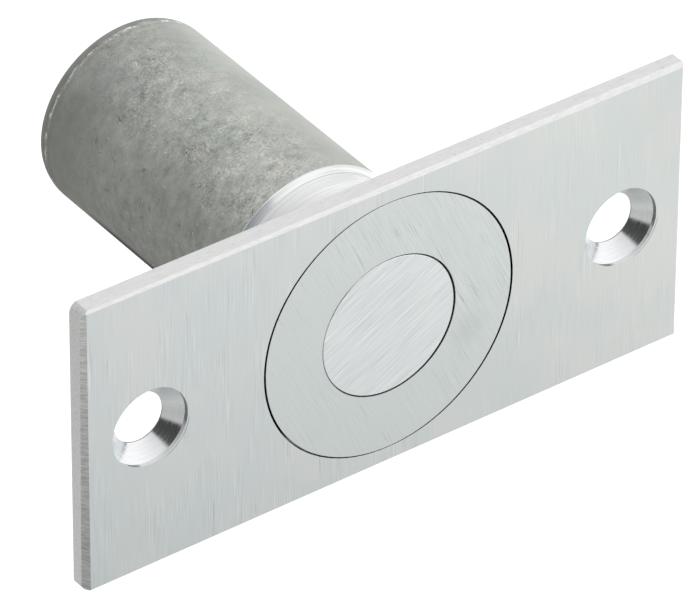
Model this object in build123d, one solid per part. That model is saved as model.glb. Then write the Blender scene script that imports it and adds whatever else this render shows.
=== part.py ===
from build123d import *
import math
import os

# A dust-proof strike: a screwed plate with a flanged, spring-loaded plunger housing let into it.
# X runs along the plate, Z up its short side and Y backwards, into what the plate is screwed to.
# The origin is the centre of the plate's back face. The parts are drawn with depths measured from
# the front face, and moved there when they are written out. All sizes are in millimetres.

# Plate
plate_length = 68.6
plate_height = 31.75
plate_thickness = 2.03
corner_radius = 0.45
worn_corner_radius = 1.2
long_edge_trim = 0.1

# Bevels on the plate's front edges, ground by hand. The drift is how much deeper a bevel is at one
# end of its edge than at the middle.
top_bevel_width = 0.3
top_bevel_depth = 0.4
bottom_bevel = 0.29
end_bevel_width = 0.52
end_bevel_depth = 0.55
bevel_drift = 0.23

# Screw holes in the plate, for flat-head screws
screw_spacing = 54.0
screw_hole_radius = 2.7
screw_head_radius = 4.2
screw_head_lip = 0.42
countersink_half_angle = 45.0

# Flange of the housing, let flush into the plate
flange_radius = 14.08
flange_thickness = 1.0
flange_gap = 0.03
seat_stretch = 0.17

# Barrel of the housing
barrel_radius = 10.15
barrel_clearance = 0.15
barrel_wall = 1.95
neck_relief = 0.5
neck_end = 12.05
neck_cone_length = 0.65
housing_depth = 43.1

# Staked rim that holds the end plug
rim_length = 1.1
rim_drop = 0.28
rim_edge_radius = 0.2
rim_hold = 0.6
rim_mouth_flare = 0.2

# End plug
plug_wall = 1.47
plug_thickness = 1.6
plug_bevel = 0.4
plug_clearance = 0.02
boss_height = 1.2
boss_bevel = 0.3

# Plunger, a cup with a stepped nose
nose_clearance = 0.1
shoulder_step = 0.6
skirt_clearance = 0.1
play_taken_up = 0.08
play_direction = 155.0
lip_length = 3.0
face_thickness = 2.6
cup_wall = 1.5
cup_corner_radius = 0.5
mouth_bevel = 0.4
travel = 20.0

# Edges that a file or a brush has taken the sharpness off
front_edge_break = 0.05

# Compression spring
wire_radius = 0.5
coil_clearance = 0.27
boss_clearance = 0.35
active_turns = 7
dead_coil_pitch = 1.04
ground_depth = 0.25
chords_per_turn = 16
wire_sides = 6

# Places that follow from the sizes above
plug_back = housing_depth - rim_length
plug_front = plug_back - plug_thickness
bore_radius = barrel_radius - barrel_wall
skirt_radius = bore_radius - skirt_clearance
plunger_radius = skirt_radius - shoulder_step
lip_radius = plunger_radius + nose_clearance
cup_radius = skirt_radius - cup_wall
skirt_end = plug_front - travel
plug_seat_radius = barrel_radius - plug_wall
plug_radius = plug_seat_radius - plug_clearance
coil_radius = cup_radius - coil_clearance - wire_radius
boss_radius = coil_radius - wire_radius - boss_clearance


def turned(*section):
    """A solid of revolution about Y, from the corners (radius, depth) of its half section."""
    return revolve(make_face(Polyline(*section, close=True)), Axis.Y)


def edge_ring(solid, radius, depth):
    """The circular edge of a turned solid with this radius at this depth."""
    rings = solid.edges().filter_by(GeomType.CIRCLE)
    return min(rings, key=lambda e: math.hypot(e.radius - radius, e.arc_center.Y - depth))


def bevel_cutter(edge_height, edge_length, first, last):
    """The cutter for one front edge, drawn as the top edge. The bevel has a width on the face and a
    depth on the side, which change from the first pair, at -X, to the last one."""
    sections = []
    for end, (width, depth) in ((-1, first), (1, last)):
        corner = Plane(
            origin=(end * edge_length / 2, 0, edge_height),
            x_dir=(0, 0, -1),
            z_dir=(1, 0, 0),
        )
        triangle = Polyline((2 * width, -depth), (-width, 2 * depth), (-width, -depth), close=True)
        sections.append(corner * make_face(triangle))
    return loft(sections)


def plate_blank():
    """The plate before its holes. It is blanked with round corners, of which the top left one is
    worn rounder. Its long edges are then trimmed, so that the corners meet them at an angle, and a
    bevel is ground on each front edge."""
    blanked = Rectangle(plate_length, plate_height + 2 * long_edge_trim)
    by_place = ShapeList(blanked.vertices()).sort_by(lambda corner: corner.X - corner.Y)
    blanked = fillet(by_place[1:], corner_radius)
    top_left = ShapeList(blanked.vertices()).sort_by(lambda corner: corner.X - corner.Y)[0]
    blanked = fillet(top_left, worn_corner_radius)
    outline = blanked & Rectangle(plate_length, plate_height)
    body = extrude(Plane.XZ * outline, amount=-plate_thickness)
    end = (end_bevel_width, end_bevel_depth)
    end_deep = (end_bevel_width, end_bevel_depth + bevel_drift)
    end_shallow = (end_bevel_width, end_bevel_depth - bevel_drift)
    top_deep = (top_bevel_width, top_bevel_depth + bevel_drift)
    top_shallow = (top_bevel_width, top_bevel_depth - bevel_drift)
    bottom_deep = (bottom_bevel + bevel_drift, bottom_bevel + bevel_drift)
    bottom_shallow = (bottom_bevel - bevel_drift, bottom_bevel - bevel_drift)
    top = bevel_cutter(plate_height / 2, plate_length, top_shallow, top_deep)
    bottom = bevel_cutter(plate_height / 2, plate_length, bottom_deep, bottom_shallow)
    left = bevel_cutter(plate_length / 2, plate_height, end_deep, end_shallow)
    right = bevel_cutter(plate_length / 2, plate_height, end, end)
    body -= top
    body -= Rot(0, 180, 0) * bottom
    body -= Rot(0, -90, 0) * left
    body -= Rot(0, 90, 0) * right
    return body


def screw_hole():
    """The cutter for one screw hole: a short straight lip, a cone for the head and a through hole."""
    cone_depth = (screw_head_radius - screw_hole_radius) / math.tan(math.radians(countersink_half_angle))
    cone_end = screw_head_lip + cone_depth
    past = plate_thickness
    return turned(
        (0, -past),
        (screw_head_radius, -past),
        (screw_head_radius, screw_head_lip),
        (screw_hole_radius, cone_end),
        (screw_hole_radius, plate_thickness + past),
        (0, plate_thickness + past),
    )


def flange_seat():
    """The cutter for the stepped hole that the flange lies in and the barrel passes through.
    The seat is milled a little long, so its gap round the flange is widest at the two sides."""
    seat_width = 2 * (flange_radius + flange_gap)
    through_radius = barrel_radius + barrel_clearance
    past = plate_thickness
    outline = Plane.XZ * SlotCenterToCenter(2 * seat_stretch, seat_width)
    seat = Pos(0, -past, 0) * extrude(outline, amount=-(past + flange_thickness))
    through = turned(
        (0, 0),
        (through_radius, 0),
        (through_radius, plate_thickness + past),
        (0, plate_thickness + past),
    )
    return seat + through


def strike_plate():
    plate = plate_blank() - flange_seat()
    for side in (-1, 1):
        plate -= Pos(side * screw_spacing / 2, 0, 0) * screw_hole()
    return plate


def housing():
    """The flanged barrel: a casting whose flange and neck are turned, with a stepped bore and,
    at the back, a rim rolled over the end plug."""
    neck_radius = barrel_radius - neck_relief
    rim_end_radius = barrel_radius - rim_drop
    hold_radius = plug_seat_radius - rim_hold
    plug_corner = plug_back - plug_bevel
    rolled = TangentArc(
        (barrel_radius, plug_back),
        (rim_end_radius, housing_depth),
        tangent=(0, 1),
    )
    front = Polyline(
        (lip_radius, lip_length),
        (lip_radius, 0),
        (flange_radius, 0),
        (flange_radius, flange_thickness),
        (neck_radius, flange_thickness),
        (neck_radius, neck_end),
        (barrel_radius, neck_end + neck_cone_length),
        (barrel_radius, plug_back),
    )
    inside = Polyline(
        (rim_end_radius, housing_depth),
        (hold_radius + rim_mouth_flare, housing_depth),
        (hold_radius, plug_corner + rim_hold + plug_clearance),
        (plug_seat_radius, plug_corner + plug_clearance),
        (plug_seat_radius, plug_front),
        (bore_radius, plug_front),
        (bore_radius, lip_length),
        (lip_radius, lip_length),
    )
    body = revolve(make_face(front + rolled + inside), Axis.Y)
    body = fillet(edge_ring(body, rim_end_radius, housing_depth), rim_edge_radius)
    front_rings = [edge_ring(body, lip_radius, 0), edge_ring(body, flange_radius, 0)]
    return chamfer(front_rings, front_edge_break)


def plunger():
    """A cup open at the back. Its nose is flush with the plate and its shoulder stops on the lip.
    It lies against one side of its hole, as a loose plunger does."""
    body = turned(
        (0, 0),
        (plunger_radius, 0),
        (plunger_radius, lip_length),
        (skirt_radius, lip_length),
        (skirt_radius, skirt_end),
        (cup_radius, skirt_end),
        (cup_radius, face_thickness),
        (0, face_thickness),
    )
    body = fillet(edge_ring(body, cup_radius, face_thickness), cup_corner_radius)
    body = chamfer(edge_ring(body, cup_radius, skirt_end), mouth_bevel)
    body = chamfer(edge_ring(body, plunger_radius, 0), front_edge_break)
    return Rot(0, -play_direction, 0) * Pos(play_taken_up, 0, 0) * body


def end_plug():
    """The disc staked into the back of the barrel, with a boss that keeps the spring central."""
    return turned(
        (0, plug_front - boss_height),
        (boss_radius - boss_bevel, plug_front - boss_height),
        (boss_radius, plug_front - boss_height + boss_bevel),
        (boss_radius, plug_front),
        (plug_radius, plug_front),
        (plug_radius, plug_back - plug_bevel),
        (plug_radius - plug_bevel, plug_back),
        (0, plug_back),
    )


def wire_depth(turn):
    """The depth of the wire's centre after so many turns: a dead coil, the open turns, a dead coil."""
    first = face_thickness + wire_radius - ground_depth
    last = plug_front - wire_radius + ground_depth
    open_pitch = (last - first - 2 * dead_coil_pitch) / active_turns
    open_part = min(max(turn - 1, 0), active_turns)
    dead_part = turn - open_part
    return first + dead_part * dead_coil_pitch + open_part * open_pitch


def spring():
    """A helical spring between the cup's floor and the plug, its two ends ground flat. It is drawn
    in short straight lengths of six-sided wire."""
    sections = []
    for step in range((active_turns + 2) * chords_per_turn + 1):
        turn = step / chords_per_turn
        place = Rot(0, 360 * turn, 0) * Pos(coil_radius, wire_depth(turn), 0)
        sections.append(place * RegularPolygon(wire_radius, wire_sides))
    wire = loft(sections, ruled=True)
    between = turned(
        (0, face_thickness),
        (bore_radius, face_thickness),
        (bore_radius, plug_front),
        (0, plug_front),
    )
    return wire & between


set_down = Pos(0, -plate_thickness, 0)
os.makedirs("parts", exist_ok=True)
export_step(set_down * strike_plate(), "parts/strike_plate.step")
export_step(set_down * housing(), "parts/housing.step")
export_step(set_down * plunger(), "parts/plunger.step")
export_step(set_down * end_plug(), "parts/end_plug.step")
export_step(set_down * spring(), "parts/spring.step")
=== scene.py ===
# %% [markdown]
# # A dust-proof strike in brushed metal
# A dust-proof strike is let into a floor or a threshold, and the bolt of a door drops into it.
# Its plate is screwed down, and a sprung plunger keeps the hole closed while the bolt is drawn.
# The lesson starts from a packed CAD model of the strike, and makes its camera, its studio, its
# metal finishes and its spring.

# %% The packed model
import bpy
import bmesh
import math
from mathutils import Matrix, Vector


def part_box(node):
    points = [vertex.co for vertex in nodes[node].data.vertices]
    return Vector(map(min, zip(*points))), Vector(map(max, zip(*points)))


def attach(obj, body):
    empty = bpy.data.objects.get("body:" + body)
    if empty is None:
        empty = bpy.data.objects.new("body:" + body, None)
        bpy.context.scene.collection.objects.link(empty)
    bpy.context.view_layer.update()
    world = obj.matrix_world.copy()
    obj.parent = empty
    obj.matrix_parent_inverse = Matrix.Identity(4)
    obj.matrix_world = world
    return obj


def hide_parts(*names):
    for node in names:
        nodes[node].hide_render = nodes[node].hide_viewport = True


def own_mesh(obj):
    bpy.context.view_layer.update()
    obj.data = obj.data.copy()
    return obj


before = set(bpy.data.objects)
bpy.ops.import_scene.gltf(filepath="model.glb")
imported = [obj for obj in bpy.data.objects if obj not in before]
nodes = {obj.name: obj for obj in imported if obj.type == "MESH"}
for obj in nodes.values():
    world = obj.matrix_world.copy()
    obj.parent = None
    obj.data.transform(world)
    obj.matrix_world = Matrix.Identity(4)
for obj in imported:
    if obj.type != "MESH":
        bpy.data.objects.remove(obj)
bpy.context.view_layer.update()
scene = bpy.context.scene
print("nodes:", ", ".join(sorted(nodes)))

# %% [markdown]
# ## Where things are
# The model is in metres: X runs along the plate, Z up its short side and Y back along the barrel.
# Most sizes below are a few millimetres, so they are written as a number times `mm`. The front
# face is read from the plate's box, and what lies behind it is measured from there.

# %% Measures
mm = 0.001
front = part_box("strike_plate")[0].y
front_centre = Vector((0, front, 0))
print("front face at y =", round(front / mm, 2), "mm")

# %% [markdown]
# ## The camera
# A long lens a good way off keeps the plate's long edges nearly parallel. A camera can be placed
# by typing in a rotation, or be tracked to a target. Here it is turned by three named angles, and
# then moved back from the plate's front face along its own axis, with a small step sideways and
# upwards, so the distance can be changed without losing the view.

# %% Camera
view_azimuth = math.radians(36.053)
view_elevation = math.radians(36.224)
view_roll = math.radians(0.395)
view_distance = 0.768701
view_step = Vector((-0.003655, 0.002379, 0))

camera_turn = (
    Matrix.Rotation(-view_azimuth, 4, "Z")
    @ Matrix.Rotation(math.pi / 2 - view_elevation, 4, "X")
    @ Matrix.Rotation(view_roll, 4, "Z")
)
camera_place = front_centre + camera_turn @ (view_step + Vector((0, 0, view_distance)))
camera_data = bpy.data.cameras.new("camera")
camera_data.sensor_fit = "HORIZONTAL"
camera_data.sensor_width = 36
camera_data.lens = 426.12
camera_data.clip_start = 0.01
camera_data.clip_end = 20
camera = bpy.data.objects.new("camera", camera_data)
camera.matrix_world = Matrix.Translation(camera_place) @ camera_turn
scene.collection.objects.link(camera)
scene.camera = camera
print("camera at", [round(part, 4) for part in camera_place])

# %% [markdown]
# ## Sums with sockets
# A shader is a net of nodes, and most of the nodes do sums. Drawing each sum by hand is slow to
# write and slow to read. So one small class wraps a socket and takes the place of a number in a
# Python expression: `1 - mask` adds a Math node by itself. A second class holds the net, and its
# `node` method adds a node of any other kind, with its settings first and then its sockets.

# %% A socket that takes part in sums
class Wire:
    """An output socket. Sums and products with it add Math nodes to its net."""

    def __init__(self, net, socket):
        self.net = net
        self.socket = socket

    def maths(self, operation, first, second=0.0, third=0.0):
        values = {0: first, 1: second, 2: third}
        return self.net.node("Math", {"operation": operation}, values)

    def __add__(self, other):
        return self.maths("ADD", self, other)

    def __radd__(self, other):
        return self.maths("ADD", other, self)

    def __sub__(self, other):
        return self.maths("SUBTRACT", self, other)

    def __rsub__(self, other):
        return self.maths("SUBTRACT", other, self)

    def __mul__(self, other):
        return self.maths("MULTIPLY", self, other)

    def __rmul__(self, other):
        return self.maths("MULTIPLY", other, self)

    def __truediv__(self, other):
        return self.maths("DIVIDE", self, other)

    def __abs__(self):
        return self.maths("ABSOLUTE", self)

    def power(self, exponent):
        return self.maths("POWER", self, exponent)

    def exponent(self):
        return self.maths("EXPONENT", self)

    def above(self, limit):
        """1 where this is more than the limit, and 0 elsewhere."""
        return self.maths("GREATER_THAN", self, limit)

    def most(self, other):
        return self.maths("MAXIMUM", self, other)

    def rise(self, low, high):
        """0 below low, 1 above high, and a smooth step between them."""
        settings = {"interpolation_type": "SMOOTHSTEP"}
        sockets = {"Value": self, "From Min": low, "From Max": high}
        return self.net.node("MapRange", settings, sockets)

    def ridge(self, middle, width):
        """1 at the middle, falling evenly to 0 at this width on each side of it."""
        return (1 - abs(self - middle) / width).most(0.0)


class Net:
    """The nodes of a material or a world, written down one at a time."""

    def __init__(self, owner):
        owner.use_nodes = True
        self.owner = owner
        self.tree = owner.node_tree
        self.tree.nodes.clear()

    def node(self, kind, settings=None, sockets=None, output=0):
        """Adds a node, sets it up, fills its sockets with numbers or wires, and gives an output."""
        made = self.tree.nodes.new("ShaderNode" + kind)
        for name, value in (settings or {}).items():
            setattr(made, name, value)
        for name, value in (sockets or {}).items():
            if isinstance(value, Wire):
                self.tree.links.new(value.socket, made.inputs[name])
            else:
                made.inputs[name].default_value = value
        return Wire(self, made.outputs[output]) if made.outputs else None

    def vector(self, operation, first, second=(0, 0, 0), output=0):
        return self.node("VectorMath", {"operation": operation}, {0: first, 1: second}, output)

    def scaled(self, colour, factor):
        """A colour made lighter or darker by a factor."""
        return self.node("VectorMath", {"operation": "SCALE"}, {0: colour, "Scale": factor})

    def mix(self, share, first, second):
        """A mix of two colours. In a Mix node these are sockets 6 and 7, and the result is 2."""
        return self.node("Mix", {"data_type": "RGBA"}, {0: share, 6: first, 7: second}, 2)

    def parts(self, vector):
        """The three numbers of a vector."""
        return [self.node("SeparateXYZ", {}, {0: vector}, axis) for axis in range(3)]


print("a net can make:", ", ".join(name for name in vars(Net) if not name.startswith("_")))

# %% [markdown]
# ## The studio
# Metal shows little of its own colour and much of what stands round it, so the studio is half of
# the finish. A product like this is shot in a white tent with the soft light to the right: the
# tent is brightest at the right and the top and falls off to the left and behind. Boards and
# lamps could stand round the part, but one smooth slope of light, worked out from the direction
# of a ray, gives the same soft look with fewer things to place. The tent is open below the
# camera, and the polished cones of the screw holes show that gap as a dark band.

# %% The light of the tent from a direction
tent_level = 0.80
tent_slope = Vector((0.40, -0.10, 0.13))
dark_gap = Vector((-0.60, -0.745, 0.29)).normalized()
dark_gap_core = math.cos(math.radians(18))
dark_gap_rim = math.cos(math.radians(28))
gap_shade = 0.89
tent_least = 0.3


def tent_light(net, direction):
    """How bright the tent is in a direction, as a wire."""
    slope = net.vector("DOT_PRODUCT", direction, tent_slope, 1)
    toward_gap = net.vector("DOT_PRODUCT", direction, dark_gap, 1)
    open_tent = 1 - gap_shade * toward_gap.rise(dark_gap_rim, dark_gap_core)
    return (slope + tent_level).most(tent_least) * open_tent


print("light straight above:", round(tent_level + tent_slope.z, 2))

# %% [markdown]
# The background of the picture is pure white. Turning up the lamps would do it and spoil the
# part, so the world asks each ray what it is: a ray straight from the camera, or through glass,
# sees white, and all others see the tent.

# %% World
world = bpy.data.worlds.new("white tent")
scene.world = world
net = Net(world)
direction = net.node("TexCoord", {}, {}, "Generated")
seen_straight = net.node("LightPath", {}, {}, "Is Camera Ray")
seen_through = net.node("LightPath", {}, {}, "Is Transmission Ray")
seen = seen_straight.most(seen_through)
level = tent_light(net, direction) * (1 - seen) + seen
sky = net.node("Background", {}, {"Color": (1, 1, 1, 1), "Strength": level})
net.node("OutputWorld", {}, {"Surface": sky})
print("world:", world.name)

# %% [markdown]
# The part hangs above a pale floor, as it would from a thread, so that its shadow falls clear of
# the picture. The floor takes shadows like any matt board. Rays from the camera also find a
# little glow on it, which lifts the board to white. Mirror-like rays find the tent's light there,
# so the metal sees one even surround, with a soft pool of shade in it below the part. Four white
# cards on the floor fill in what the pool takes too much from: the left half of the face, the
# plate's left end and the upper halves of the countersinks.

# %% Floor
floor_drop = 0.12
floor_size = 6.0
grey_board = 0.8
board_lift = 0.35
floor_glow = 1.17
pool_depth = 0.72
pool_radius = 0.17
cards = (
    (Vector((0.03, -0.15, 0)), 0.06, 0.22),
    (Vector((-0.11, 0.108, 0)), 0.045, 0.24),
    (Vector((0.01, 0.01, 0)), 0.05, 0.35),
    (Vector((-0.08, -0.057, 0)), 0.045, 0.35),
)

shape = bmesh.new()
bmesh.ops.create_grid(shape, x_segments=1, y_segments=1, size=floor_size / 2)
bmesh.ops.translate(shape, verts=shape.verts, vec=(0, 0, -floor_drop))
floor_mesh = bpy.data.meshes.new("floor")
shape.to_mesh(floor_mesh)
shape.free()
floor = bpy.data.objects.new("floor", floor_mesh)
scene.collection.objects.link(floor)

floor_material = bpy.data.materials.new("pale floor")
net = Net(floor_material)
place = net.node("NewGeometry", {}, {}, "Position")
seen_straight = net.node("LightPath", {}, {}, "Is Camera Ray")
seen_through = net.node("LightPath", {}, {}, "Is Transmission Ray")
seen_in_metal = net.node("LightPath", {}, {}, "Is Glossy Ray")
board = net.node("BsdfDiffuse", {}, {"Color": (grey_board, grey_board, grey_board, 1)})
lift = board_lift * seen_straight.most(seen_through)
lift_glow = net.node("Emission", {}, {"Color": (1, 1, 1, 1), "Strength": lift})
lifted = net.node("AddShader", {}, {0: board, 1: lift_glow})
outward = net.vector("NORMALIZE", place)
on_plan = net.vector("MULTIPLY", place, (1, 1, 0))
from_pool = net.vector("LENGTH", on_plan, output=1) / pool_radius
pool_of_shade = pool_depth * (0 - from_pool * from_pool).exponent()
tent_below = tent_light(net, outward) * (floor_glow - pool_of_shade)
for card_place, card_radius, card_glow in cards:
    from_card = net.vector("DISTANCE", on_plan, card_place, 1) / card_radius
    tent_below = tent_below + card_glow * (0 - from_card * from_card).exponent()
reflected_glow = net.node("Emission", {}, {"Strength": tent_below})
surface = net.node("MixShader", {}, {0: seen_in_metal, 1: lifted, 2: reflected_glow})
net.node("OutputMaterial", {}, {"Surface": surface})
floor_mesh.materials.append(floor_material)
print("floor at z =", -floor_drop)

# %% [markdown]
# One large soft lamp stands in front, high on the right, for the soft shadow on the floor. The
# metal doesn't see it: a square lamp in a bevel or a rim would burn out to a white line, and the
# tent already gives those edges their shine.

# %% Lamp
lamp_distance = 0.9
lamp_direction = Vector((0.62, -0.38, 0.69)).normalized()
lamp_data = bpy.data.lights.new("soft lamp", "AREA")
lamp_data.shape = "SQUARE"
lamp_data.size = 0.55
lamp_data.energy = 2.2
lamp = bpy.data.objects.new("soft lamp", lamp_data)
lamp.location = lamp_direction * lamp_distance
lamp.rotation_euler = lamp_direction.to_track_quat("Z", "Y").to_euler()
lamp.visible_glossy = False
scene.collection.objects.link(lamp)
scene.view_settings.view_transform = "Standard"
print("lamp:", lamp_data.energy, "W")


# %% [markdown]
# ## What the finishes are made of
# Brushing leaves thousands of fine parallel scratches, and handling adds a few long ones. An
# image of scratches would do, and so would thousands of modelled grooves, but a noise stretched
# along the strokes costs nothing and never repeats. The noise below has a size in millimetres for
# each axis, so a stroke is simply a noise that is long one way.

# %% Grain, lines and patches
crest_width = 0.07


def grain(net, place, size, turn=0.0, detail=2.0, shift=0.0):
    """A noise around 0 whose grains have this size along X, Y and Z, turned about Y. A positive
    turn leans what runs up Z towards X."""
    stretch = {
        "Vector": place,
        "Location": (shift, 0, shift),
        "Rotation": (0, math.radians(turn), 0),
        "Scale": [side * mm for side in size],
    }
    along = net.node("Mapping", {"vector_type": "TEXTURE"}, stretch)
    noise = {"Vector": along, "Scale": 1.0, "Detail": detail, "Roughness": 0.55}
    return net.node("TexNoise", {}, noise) - 0.5


def lines(net, place, size, turn=0.0, shift=0.0, rarity=0.16):
    """Sparse sharp lines: 1 on the crests of a stretched noise, and 0 between them."""
    crests = grain(net, place, size, turn, 1.0, shift)
    return crests.rise(rarity, rarity + crest_width)


print("patterns:", grain.__name__, "and", lines.__name__)

# %% [markdown]
# A finish is a Principled shader. What the scratches do to it is small everywhere: a few percent
# of the colour, a little roughness, and a slope from a bump a few thousandths of a millimetre
# high.

# %% The shader of a finish
scratch_depth = 0.010


def finish_with(net, colour, roughness, height, depth):
    """The shader of a metal finish: its colour and roughness, and bumps of a real height."""
    bump = net.node("Bump", {}, {"Height": height, "Strength": 1.0, "Distance": depth * mm})
    sockets = {"Base Color": colour, "Metallic": 1.0, "Roughness": roughness, "Normal": bump}
    shader = net.node("BsdfPrincipled", {}, sockets)
    net.node("OutputMaterial", {}, {"Surface": shader})


def dress(node, net):
    """Puts a finish on a node of the packed model, in each of its material slots."""
    for material_slot in nodes[node].material_slots:
        material_slot.material = net.owner
    print(node, "is finished in", net.owner.name)


print("finishes:", finish_with.__name__, "and", dress.__name__)

# %% [markdown]
# ## The plate
# The plate is satin stainless steel, brushed along its short side. Its edges were finished in
# other ways: the long edges are smooth and bright, the sheared ends are duller, and the bevels
# show short strokes across them. One material does it all. It tells the zones apart by the
# direction a surface faces, as a shader can know that without any extra data on the mesh.

# %% Zones of the plate
net = Net(bpy.data.materials.new("satin plate"))
place = net.node("TexCoord", {}, {}, "Object")
facing_x, facing_y = net.parts(net.node("TexCoord", {}, {}, "Normal"))[:2]
across, depth, up = net.parts(place)
behind = depth - front
on_face = abs(facing_y).rise(0.93, 0.98)
on_end = abs(facing_x).rise(0.4, 0.95)
on_bevel = (0 - facing_y).rise(0.3, 0.45) * (1 - (0 - facing_y).rise(0.93, 0.98))
on_end_bevel = on_bevel * abs(facing_x).rise(0.2, 0.4)
on_back = facing_y.rise(0.93, 0.98)
print("nodes for the plate's zones:", len(net.tree.nodes))

# %% [markdown]
# The two countersinks are turned and polished, so they are nearly mirrors, with fine rings round
# their axis. Measuring across from the nearer hole puts both of them in one place, and the
# distance from the hole's axis then draws the rings. Low on the right, the sharp edge round each
# hole is painted dark: a painted dark reflection.

# %% Screw holes
hole_place = 27.0 * mm
hole_edge = 4.215 * mm
lip_radius = 4.17 * mm
rim_reflection_radius = 4.42 * mm
rim_reflection_width = 0.07 * mm
ring_spacing = 0.11 * mm
ring_change = 1.6
hole_across = across + hole_place - 2 * hole_place * across.above(0.0)
from_hole = (hole_across * hole_across + up * up).power(0.5)
in_hole = (1 - from_hole.above(hole_edge)) * (1 - on_back)
hole_side = hole_across / from_hole
hole_height = up / from_hole
ring_noise = {
    "Vector": net.node("CombineXYZ", {}, {
        0: hole_side * ring_change,
        1: from_hole / ring_spacing,
        2: hole_height * ring_change,
    }),
    "Scale": 1.0,
    "Detail": 3.0,
}
hole_rings = net.node("TexNoise", {}, ring_noise) - 0.5
hole_rim = in_hole * depth.above(-0.10 * mm)
upper_half = hole_height.rise(-0.25, 0.15)
lip = in_hole * from_hole.above(lip_radius) * hole_height.rise(-0.45, -0.15)
left_wall = in_hole * (0 - hole_side).rise(0.65, 0.9)
# Low on the right of each hole, a thin ring on the face is painted dark: painted reflection.
rim_reflection_reach = (0 - hole_height).rise(0.05, 0.25) * hole_side.rise(0.3, 0.5)
painted_rim_reflection = from_hole.ridge(rim_reflection_radius, rim_reflection_width) * rim_reflection_reach * (1 - on_back)
print("nodes with the screw holes:", len(net.tree.nodes))

# %% [markdown]
# The face carries three layers: fine grain that comes and goes in clusters, sparse thin lines
# both lighter and darker, and broad patches where the metal leans a little to green or to pink.

# %% Strokes on the plate
cluster = grain(net, place, (2.2, 2.2, 9.0), detail=1.0).rise(-0.10, 0.16)
fine = grain(net, place, (0.12, 0.12, 6.0), detail=2.0)
light_lines = lines(net, place, (0.10, 0.10, 6.0), rarity=0.16)
dark_lines = lines(net, place, (0.10, 0.10, 5.0), shift=0.3, rarity=0.15)
cross_strokes = grain(net, place, (1.6, 1.6, 0.18), detail=3.0)
edge_marks = grain(net, place, (0.9, 0.25, 0.25), detail=3.0)
edge_dents = lines(net, place, (0.5, 0.3, 0.3), shift=0.2, rarity=0.17)
strokes = fine * (0.09 + 0.38 * cluster) + (0.12 * light_lines - 0.15 * dark_lines) * cluster
toward_right = across.rise(-20 * mm, 25 * mm)
face_tone = (1 + (1.3 - 0.65 * toward_right) * strokes) * (1 - 0.6 * painted_rim_reflection)
# The face's upper right corner is painted a little darker: painted shade.
painted_corner_shade = across.rise(20 * mm, 34 * mm) * up.rise(-2 * mm, 12 * mm)
face_tone = face_tone * (1 - 0.055 * painted_corner_shade)
# The ends are given far more tone than the face: painted light. The right end and its bevel are
# then painted darker again: painted shade.
painted_shade_right_face = facing_x.rise(0.4, 0.95)
end_tone = 1.37 + 1.1 * edge_marks - 0.45 * painted_shade_right_face
painted_shade_right_bevel = facing_x.rise(0.3, 0.6)
end_bevel_tone = (1.04 + 1.5 * cross_strokes) * (1 - 0.13 * painted_shade_right_bevel)
long_bevel_tone = 1.06 + 0.40 * edge_marks
bevel_tone = long_bevel_tone + (end_bevel_tone - long_bevel_tone) * on_end_bevel
# In each countersink the upper half and the left wall are painted lighter, and the outer lip darker
# except at the bottom: painted reflection.
hole_painted_light_and_shade = 1 + 0.30 * upper_half + 0.12 * left_wall - 0.62 * lip
hole_tone = (1.08 + 0.27 * hole_rings - 0.8 * hole_rim) * hole_painted_light_and_shade
long_edge_tone = 1.01 + 0.22 * edge_marks - 0.16 * edge_dents
rest_tone = long_edge_tone + (end_tone - long_edge_tone) * on_end
rest_tone = rest_tone + (bevel_tone - rest_tone) * on_bevel
tone = rest_tone + (face_tone - rest_tone) * on_face
tone = tone + (hole_tone - tone) * in_hole
print("nodes with the strokes:", len(net.tree.nodes))

# %% [markdown]
# The tones are ready, and each zone now gets its tint. The seat round the flange is a gap too
# narrow for light to reach into, so it is kept dark. Low on the left brushing has filled it, and
# there it stays light.

# %% Plate finish
patches = grain(net, place, (5.0, 5.0, 8.0), detail=1.0).rise(-0.2, 0.2)
left_tint = net.mix(patches, (0.668, 0.722, 0.716, 1), (0.708, 0.734, 0.726, 1))
right_tint = net.mix(patches, (0.674, 0.718, 0.700, 1), (0.712, 0.728, 0.710, 1))
face_tint = net.mix(toward_right, left_tint, right_tint)
edge_tint = net.mix(on_end, (0.719, 0.725, 0.717, 1), (0.706, 0.722, 0.694, 1))
hole_tint = net.mix(upper_half, (0.715, 0.728, 0.738, 1), (0.682, 0.735, 0.708, 1))
tint = net.mix(in_hole, net.mix(on_face, edge_tint, face_tint), hole_tint)
seat_reach = 14.6 * mm
from_middle = (across * across + up * up).power(0.5)
seat_depth = 1.01 * mm
in_seat = behind.above(0.02 * mm) * (1 - behind.above(seat_depth))
in_seat = in_seat * (1 - from_middle.above(seat_reach))
below_left = (0 - 0.34 * across - 0.94 * up) / from_middle
seat_shade = 0.93
shadowed = 1 - seat_shade * in_seat * (1 - below_left.rise(0.80, 0.95))
polish = in_hole * (0.19 - 0.30 * hole_rings - 0.2 * upper_half) - 0.2 * left_wall
roughness = 0.33 + 0.10 * fine - polish
edge_height = edge_marks * (1 - on_face) + cross_strokes * on_end_bevel
height = fine * on_face + edge_height * (1 - in_hole) + 0.55 * hole_rings * in_hole
finish_with(net, net.scaled(tint, tone * shadowed), roughness, height, scratch_depth)
dress("strike_plate", net)

# %% [markdown]
# ## The housing
# The housing is a zinc casting, and most of it is left as it came from the mould: dull, mottled
# and speckled. The flange was ground flush with the plate and keeps a few slanting scratches, and
# the neck and the cone behind it were turned bright. The depth behind the front face tells the
# three zones apart.

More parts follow.
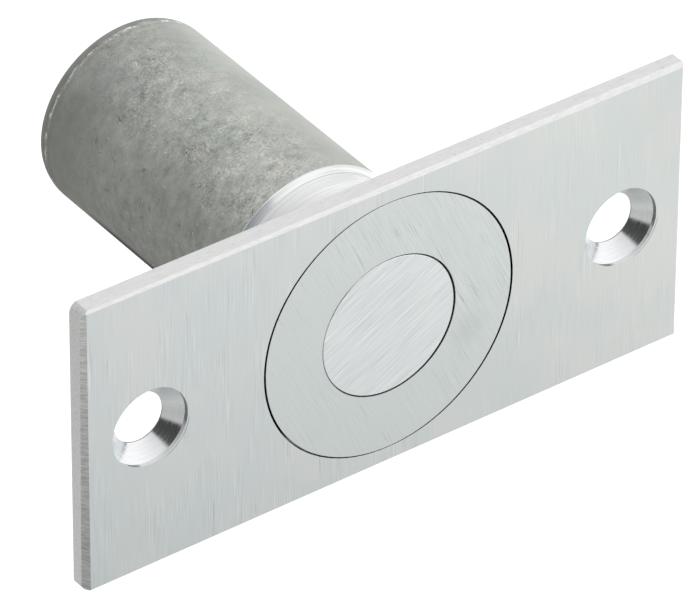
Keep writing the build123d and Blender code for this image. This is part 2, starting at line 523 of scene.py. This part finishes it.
# %% Zones of the housing
net = Net(bpy.data.materials.new("die-cast zinc"))
place = net.node("TexCoord", {}, {}, "Object")
across, depth, up = net.parts(place)
behind = depth - front
leftward = 0 - across
neck_start = 1.2 * mm
cone_start = 12.05 * mm
cast_start = 12.7 * mm
stake_place = 41.95 * mm
behind_flange = behind.above(neck_start)
cast = behind.rise(cast_start - 0.03 * mm, cast_start + 0.03 * mm)
turned = behind_flange * (1 - cast)
staked = behind.rise(stake_place, stake_place + 0.15 * mm)
raggedness = 0.55 * mm * grain(net, place, (0.5, 0.5, 0.5), detail=3.0, shift=1 * mm)
stake_line = (behind + raggedness).ridge(stake_place, 0.27 * mm)
# A faint band just before the staked rim: painted shadow.
stake_painted_shadow = (behind + raggedness).ridge(stake_place - 0.5 * mm, 0.35 * mm)
print("nodes for the housing's zones:", len(net.tree.nodes))

# %% [markdown]
# The flange keeps some slanting scratches, most of them at the upper right, and one dark smudge.
# Each scratch could be drawn by hand. Sparse lines that come in patches, with more of them toward
# that corner, look the same and take a few lines of code.

# %% Scratches on the flange
flange_turn = -25
flange_fine = grain(net, place, (0.14, 0.14, 2.4), flange_turn)
flange_patch = grain(net, place, (3.0, 3.0, 3.0), detail=1.0).rise(-0.06, 0.12)
light_scratches = lines(net, place, (0.06, 0.06, 8.0), flange_turn, rarity=0.14)
dark_scratches = lines(net, place, (0.06, 0.06, 7.0), flange_turn, shift=0.1, rarity=0.15)
upper_right = 0.35 + 0.65 * (across + up).rise(-4 * mm, 12 * mm)
scratched = (0.3 + 0.7 * flange_patch) * upper_right
scratches = (0.24 * light_scratches - 0.55 * dark_scratches) * scratched
smudge_place = Vector((9.2 * mm, front, -4.2 * mm))
from_smudge = net.vector("DISTANCE", place, smudge_place, 1) + 1.5 * mm * flange_fine
smudge = 1 - from_smudge.rise(0.4 * mm, 2.6 * mm)
flange_tone = 1 + (0.03 + 0.15 * upper_right) * flange_fine + scratches - 0.08 * smudge
print("nodes with the flange:", len(net.tree.nodes))

# %% [markdown]
# A lathe tool leaves fine rings on the neck and on the cone behind it. They are a noise that is
# squeezed along the barrel. The cone's left end is duller, and it is painted darker and bluer: a
# painted dark reflection. Where the cone meets the cast skin, its lip carries a painted highlight,
# and the right end of the neck is painted a little darker: painted shade.

# %% Lines on the turned neck
turned_lines = grain(net, place, (6.0, 0.10, 6.0)) + grain(net, place, (9.0, 0.5, 9.0))
cone_foot = behind.ridge(cone_start, 0.07 * mm)
on_cone = behind.above(cone_start)
# The cone's left end is rougher, and it is painted darker: painted dark reflection.
cone_left_dull_painted_dark = on_cone * leftward.rise(3.8 * mm, 5.2 * mm)
# A bright line at the cone's lip on the left: painted highlight.
cone_lip_painted_highlight = behind.ridge(cast_start - 0.04 * mm, 0.06 * mm) * leftward.rise(2 * mm, 5 * mm)
line_strength = 0.30 + 0.25 * on_cone + 0.5 * cone_left_dull_painted_dark
turned_tone = 1.17 + line_strength * turned_lines - 0.34 * cone_foot
turned_tone = turned_tone * (1 - 0.15 * cone_left_dull_painted_dark) + 0.60 * cone_lip_painted_highlight
# The neck's right end is painted darker: painted shade.
neck_right_painted_shade = across.rise(-1 * mm, 3.5 * mm) * behind.rise(9 * mm, 11 * mm)
turned_tone = turned_tone * (1 - 0.11 * neck_right_painted_shade)
print("nodes with the neck:", len(net.tree.nodes))

# %% [markdown]
# The cast skin has blotches of several sizes, bright specks where it was knocked, and short dark
# scratches that run in all directions. Bending the coordinates with a second noise keeps those
# scratches from looking combed. The skin is roughest along the top. Low on its left side a dark
# fringe is painted in, where the skin is also rougher: a painted dark reflection. The rim that is
# rolled over the plug is dull, and its edge is chipped bright. Just before the rim runs a faint
# band of painted shadow.

# %% Cast skin
broad_blotch = grain(net, place, (5.0, 5.0, 5.0), detail=2.0)
middle_blotch = grain(net, place, (1.3, 1.0, 1.3), detail=4.0, shift=3 * mm)
fine_blotch = grain(net, place, (0.26, 0.24, 0.26), detail=2.0)
bend = net.node("TexNoise", {}, {"Vector": place, "Scale": 420.0, "Detail": 2.0}, "Color")
bent = net.vector("ADD", place, net.scaled(bend, 2.4 * mm))
specks = grain(net, bent, (0.22, 0.45, 0.45), turn=-20, detail=1.0, shift=7 * mm).rise(0.23, 0.28)
bent_scratches = lines(net, bent, (0.10, 1.6, 1.6), turn=30, rarity=0.17)
crossing_scratches = lines(net, bent, (1.6, 0.10, 1.6), turn=70, shift=2 * mm, rarity=0.17)
far_end = behind.rise(30 * mm, 41 * mm)
near_end = 1 - behind.rise(15 * mm, 24 * mm)
rubbed = grain(net, place, (3.2, 2.6, 3.2), detail=1.0, shift=9 * mm).rise(-0.14, 0.14)
on_right = across.rise(-2 * mm, 6 * mm) * up.rise(1 * mm, 6 * mm)
on_left = leftward.rise(6 * mm, 9.5 * mm)
far_left = far_end * leftward.rise(2 * mm, 7 * mm)
knocked = 1.04 * (1 - 0.85 * on_right) * (1 - 0.25 * on_left) * (1 - 0.50 * far_left)
toward_left = leftward.rise(-6 * mm, 2 * mm)
rough = (0.45 + 0.46 * rubbed) * (1 - 0.6 * on_left) * (1 - 0.4 * far_left)
blotches = 0.66 * middle_blotch + rough * fine_blotch
marks = blotches + 0.75 * specks - 0.26 * bent_scratches - 0.20 * crossing_scratches
left_flank = leftward.rise(-1 * mm, 4 * mm) * across.rise(-9 * mm, -7 * mm)
cast_tone = (0.705 + 0.30 * broad_blotch + knocked * marks) * (1 - 0.19 * far_end * toward_left)
cast_tone = cast_tone * (1 + 0.13 * near_end * left_flank) * (1 - 0.03 * on_left)
# Low on the left a dark fringe is painted along the barrel: a painted dark reflection.
low_left = (0 - up).rise(3.7 * mm, 5.1 * mm) * leftward.rise(2 * mm, 5 * mm)
low_left = low_left * (1 - (0 - up).rise(6.6 * mm, 7.8 * mm))
fringe_length = behind.rise(19 * mm, 26 * mm) * (1 - behind.rise(32 * mm, 38 * mm))
dark_fringe_painted_reflection = low_left * fringe_length
# The band before the rim is darkened: painted shadow.
cast_tone = cast_tone * (1 - 0.66 * dark_fringe_painted_reflection) - 0.06 * stake_painted_shadow
chips = grain(net, place, (1.0, 0.25, 1.0), detail=4.0, shift=5 * mm).rise(-0.04, 0.08)
chips = chips * grain(net, place, (0.3, 0.2, 0.3), detail=2.0, shift=1 * mm).rise(-0.14, 0.06)
rim_tone = 0.45 + 0.30 * middle_blotch
cast_tone = cast_tone + (rim_tone - cast_tone) * staked + 0.90 * stake_line * chips
print("nodes with the cast skin:", len(net.tree.nodes))

# %% [markdown]
# The three zones now come together in one material. The gaps at the flange's outer edge and
# inside its lip are given painted shade here too, except where wear has filled them.

# %% Housing finish
tone = flange_tone + (turned_tone - flange_tone) * behind_flange
tone = tone + (cast_tone - tone) * cast
in_gap = (1 - behind_flange) * behind.above(0.01 * mm)
from_middle = (across * across + up * up).power(0.5)
at_edge = from_middle.above(10 * mm)
below_left = ((0 - 0.34 * across - 0.94 * up) / from_middle).rise(0.80, 0.95)
upper_left = ((0.26 * up - 0.966 * across) / from_middle).rise(0.45, 0.75)
filled = below_left * at_edge + upper_left * (1 - at_edge)
# The gaps are darkened: painted shade.
gap_painted_shade = 0.80 + 0.13 * at_edge
tone = tone * (1 - gap_painted_shade * in_gap * (1 - filled))
hue = grain(net, place, (2.6, 2.6, 2.6), detail=2.0, shift=11 * mm).rise(-0.15, 0.15)
cast_tint = net.mix(hue, (0.690, 0.726, 0.684, 1), (0.713, 0.725, 0.674, 1))
cast_tint = net.mix(on_left, cast_tint, (0.702, 0.726, 0.664, 1))
bright_tint = net.mix(behind_flange, (0.682, 0.728, 0.716, 1), (0.718, 0.722, 0.724, 1))
bright_tint = net.mix(cone_left_dull_painted_dark * behind_flange, bright_tint, (0.676, 0.710, 0.732, 1))
tint = net.mix(cast, bright_tint, cast_tint)
dulled = (0.16 + 0.3 * dark_fringe_painted_reflection + 0.10 * middle_blotch) * cast
roughness = 0.34 + dulled - (0.14 - 0.24 * cone_left_dull_painted_dark) * turned
cast_height = (fine_blotch + middle_blotch) * knocked * cast
height = flange_fine * (1 - behind_flange) + turned_lines * turned + cast_height
finish_with(net, net.scaled(tint, tone), roughness, height, scratch_depth)
dress("housing", net)

# %% [markdown]
# ## The plunger
# Bolts have struck and rubbed the nose of the plunger, always the same way, so its strokes are
# stronger and more crowded than on the plate, and thickest at the upper left.

# %% Plunger finish
plunger_turn = 62
plunger_tint = (0.757, 0.791, 0.790)
net = Net(bpy.data.materials.new("satin plunger"))
place = net.node("TexCoord", {}, {}, "Object")
across, depth, up = net.parts(place)
upper_left = (up - across + 3 * mm).rise(-6 * mm, 9 * mm)
cluster = grain(net, place, (1.3, 1.3, 5.0), plunger_turn, detail=1.0).rise(-0.16, 0.14)
worn = (0.3 + 0.7 * cluster) * (0.35 + 0.65 * upper_left)
fine = grain(net, place, (0.06, 0.06, 4.0), plunger_turn, detail=0.0)
light_lines = lines(net, place, (0.06, 0.06, 7.0), plunger_turn, rarity=0.14)
dark_lines = lines(net, place, (0.06, 0.06, 5.0), plunger_turn, shift=0.4, rarity=0.15)
tone = 1.015 + fine * (0.22 + 0.56 * worn) + (0.48 * light_lines - 0.36 * dark_lines) * worn
roughness = 0.33 + 0.12 * fine
finish_with(net, net.scaled(plunger_tint, tone), roughness, fine, scratch_depth)
dress("plunger", net)

# %% [markdown]
# ## Steel for the plug and the spring
# The plug is plated steel, smooth and a little cloudy, with faint turning marks round its middle.
# The spring is drawn wire, with lines along it that are too small to see, so a cloudy tone is
# enough.

# %% Plug finish
net = Net(bpy.data.materials.new("plain steel"))
place = net.node("TexCoord", {}, {}, "Object")
across, depth, up = net.parts(place)
from_axis = (across * across + up * up).power(0.5)
cloud = grain(net, place, (1.6, 1.6, 1.6), detail=4.0)
mark_spacing = 0.12 * mm
mark_depth = 0.006
mark_place = net.node("CombineXYZ", {}, {0: from_axis / mark_spacing})
turning_marks = net.node("TexNoise", {}, {"Vector": mark_place, "Scale": 1.0}) - 0.5
plug_tint = (0.62, 0.62, 0.605)
tone = 1 + 0.25 * cloud + 0.25 * turning_marks
roughness = 0.30 + 0.15 * cloud
finish_with(net, net.scaled(plug_tint, tone), roughness, turning_marks, mark_depth)
dress("end_plug", net)

# %% Spring finish
net = Net(bpy.data.materials.new("spring steel"))
place = net.node("TexCoord", {}, {}, "Object")
cloud = grain(net, place, (0.5, 0.5, 0.5), detail=4.0)
spring_tint = (0.50, 0.50, 0.49)
tone = 1 + 0.4 * cloud
finish_with(net, net.scaled(spring_tint, tone), 0.32 + 0.2 * cloud, cloud, scratch_depth)
spring_finish = net.owner
print("spring finish:", spring_finish.name)

# %% [markdown]
# ## The spring
# The packed spring is wound from short straight lengths, which is all that a physics model needs.
# A curve with a bevel could make a rounder one, and so could the Screw modifier. Spinning a
# circle is the most direct way: each step turns it about the barrel's axis and moves it back by a
# share of the pitch. The first and the last turn lie close, as dead coils do, and both ends are
# then ground flat by cutting them with a plane.

# %% Winding the spring
wire_radius = 0.5 * mm
dead_pitch = 1.04 * mm
open_turns = 7
ground_away = 0.25 * mm
steps_per_turn = 40
wire_sides = 12
sharp_angle = math.radians(50)
spring_low, spring_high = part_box("spring")
coil_radius = spring_high.x - wire_radius
first_centre = spring_low.y + wire_radius - ground_away
last_centre = spring_high.y - wire_radius + ground_away
open_pitch = (last_centre - first_centre - 2 * dead_pitch) / open_turns

shape = bmesh.new()
bmesh.ops.create_circle(shape, segments=wire_sides, radius=wire_radius)
bmesh.ops.translate(shape, verts=shape.verts, vec=(coil_radius, first_centre, 0))
wire_end = shape.verts[:] + shape.edges[:]
for turns, pitch in ((1, dead_pitch), (open_turns, open_pitch), (1, dead_pitch)):
    wound = bmesh.ops.spin(
        shape,
        geom=wire_end,
        cent=(0, 0, 0),
        axis=(0, 1, 0),
        dvec=(0, pitch / steps_per_turn, 0),
        angle=2 * math.pi * turns,
        steps=turns * steps_per_turn,
    )
    wire_end = wound["geom_last"]
print("open pitch in mm:", round(open_pitch / mm, 2))

# %% Closing and grinding its ends
bmesh.ops.holes_fill(shape, edges=shape.edges, sides=0)
for flat_end, outward in ((spring_low.y, -1), (spring_high.y, 1)):
    everything = shape.verts[:] + shape.edges[:] + shape.faces[:]
    cut = bmesh.ops.bisect_plane(
        shape,
        geom=everything,
        plane_co=(0, flat_end, 0),
        plane_no=(0, outward, 0),
        clear_outer=True,
    )
    cut_edges = [part for part in cut["geom_cut"] if isinstance(part, bmesh.types.BMEdge)]
    bmesh.ops.holes_fill(shape, edges=cut_edges, sides=0)
bmesh.ops.recalc_face_normals(shape, faces=shape.faces)
open_edges = sum(1 for edge in shape.edges if len(edge.link_faces) != 2)
spring_mesh = bpy.data.meshes.new("wound spring")
shape.to_mesh(spring_mesh)
shape.free()
spring_mesh.shade_smooth()
spring_mesh.set_sharp_from_angle(angle=sharp_angle)
print("spring faces:", len(spring_mesh.polygons), "open edges:", open_edges)

# %% [markdown]
# The new spring takes the place of the packed one, and it stays with the frame.

# %% Setting the spring in place
spring = bpy.data.objects.new("wound_spring", spring_mesh)
scene.collection.objects.link(spring)
spring_mesh.materials.append(spring_finish)
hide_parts("spring")
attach(spring, "frame")
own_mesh(spring)

# %% [markdown]
